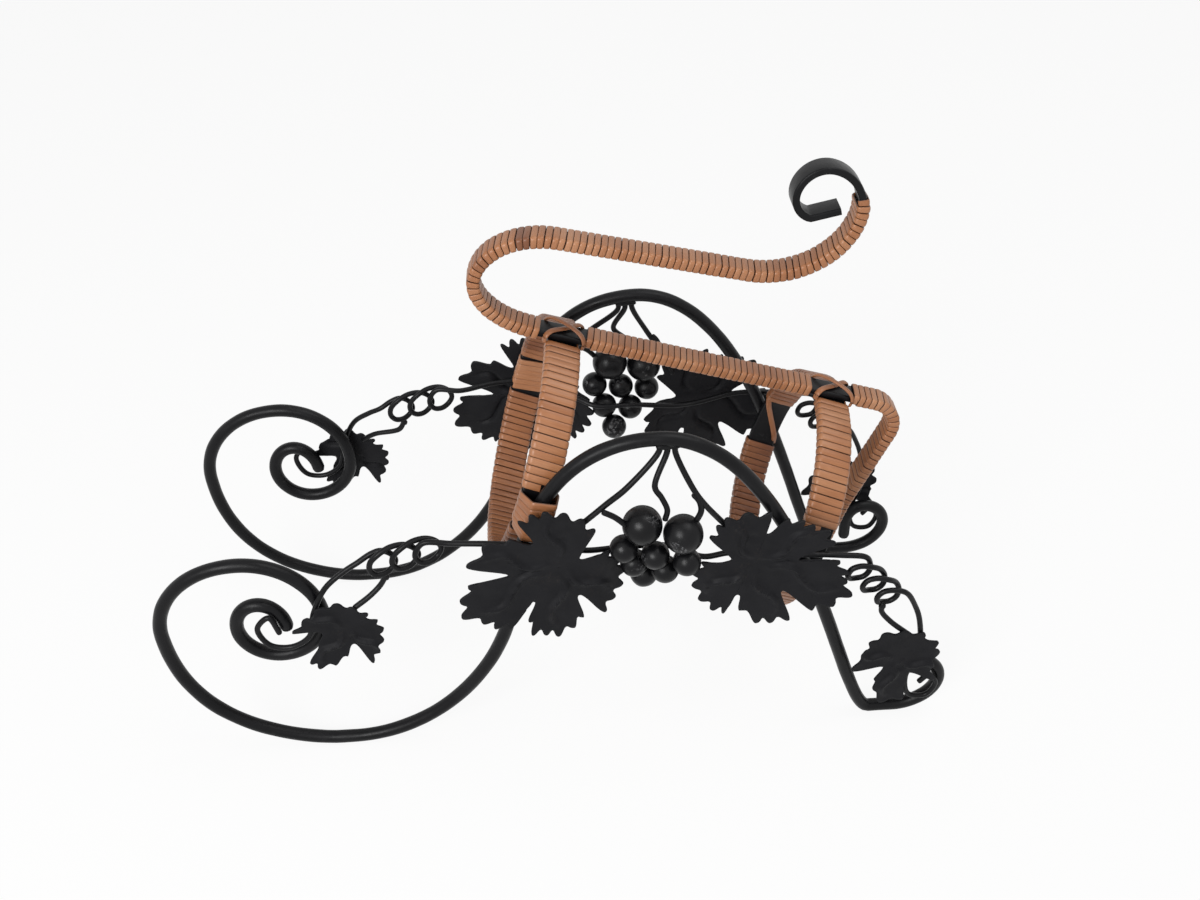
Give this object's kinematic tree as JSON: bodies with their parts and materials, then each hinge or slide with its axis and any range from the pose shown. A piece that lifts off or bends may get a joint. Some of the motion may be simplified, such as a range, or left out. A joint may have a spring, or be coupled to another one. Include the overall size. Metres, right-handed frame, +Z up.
{
  "type": "wine bottle holder",
  "caption": "Wrought-iron wine bottle holder with scrolled side frames, a vine ornament and a handle bar and bottle hoops bound with rattan.",
  "frame": {"origin": "on the table under the middle of the holder's length, midway between the side frames", "axes": "+X from the scrolls to the back stop, +Y from the left side frame to the right one, +Z up"},
  "size_m": [0.351, 0.142, 0.2548],
  "materials": {
    "black_iron": "satin black paint",
    "leaf_iron": "matte black paint",
    "rattan": "varnished cane"
  },
  "bodies": {
    "root": {"handle_bar": "black_iron", "front_hoop": "black_iron", "rear_hoop": "black_iron", "left_side_frame": "black_iron", "left_vine": "black_iron", "left_front_leaf_stem": "black_iron", "left_rear_leaf_stem": "black_iron", "left_front_stem": "black_iron", "left_middle_stem": "black_iron", "left_rear_stem": "black_iron", "left_side_stem": "black_iron", "left_grape_1": "black_iron", "left_grape_2": "black_iron", "left_grape_3": "black_iron", "left_grape_4": "black_iron", "left_grape_5": "black_iron", "left_grape_6": "black_iron", "left_grape_7": "black_iron", "left_grape_8": "black_iron", "right_side_frame": "black_iron", "right_vine": "black_iron", "right_front_leaf_stem": "black_iron", "right_rear_leaf_stem": "black_iron", "right_front_stem": "black_iron", "right_middle_stem": "black_iron", "right_rear_stem": "black_iron", "right_side_stem": "black_iron", "right_grape_1": "black_iron", "right_grape_2": "black_iron", "right_grape_3": "black_iron", "right_grape_4": "black_iron", "right_grape_5": "black_iron", "right_grape_6": "black_iron", "right_grape_7": "black_iron", "right_grape_8": "black_iron", "left_front_large_leaf": "leaf_iron", "left_front_small_leaf": "leaf_iron", "left_rear_large_leaf": "leaf_iron", "left_rear_small_leaf": "leaf_iron", "right_front_large_leaf": "leaf_iron", "right_front_small_leaf": "leaf_iron", "right_rear_large_leaf": "leaf_iron", "right_rear_small_leaf": "leaf_iron", "grip_winding": "rattan", "top_winding": "rattan", "back_stop_winding": "rattan", "front_hoop_left_winding": "rattan", "front_hoop_right_winding": "rattan", "front_hoop_lower_winding": "rattan", "front_left_collar": "rattan", "front_right_collar": "rattan", "rear_hoop_left_winding": "rattan", "rear_hoop_right_winding": "rattan", "rear_hoop_lower_left_winding": "rattan", "rear_hoop_lower_right_winding": "rattan", "front_lashing_under": "rattan", "front_lashing_over": "rattan", "rear_lashing_under": "rattan", "rear_lashing_over": "rattan"}
  },
  "joints": []
}
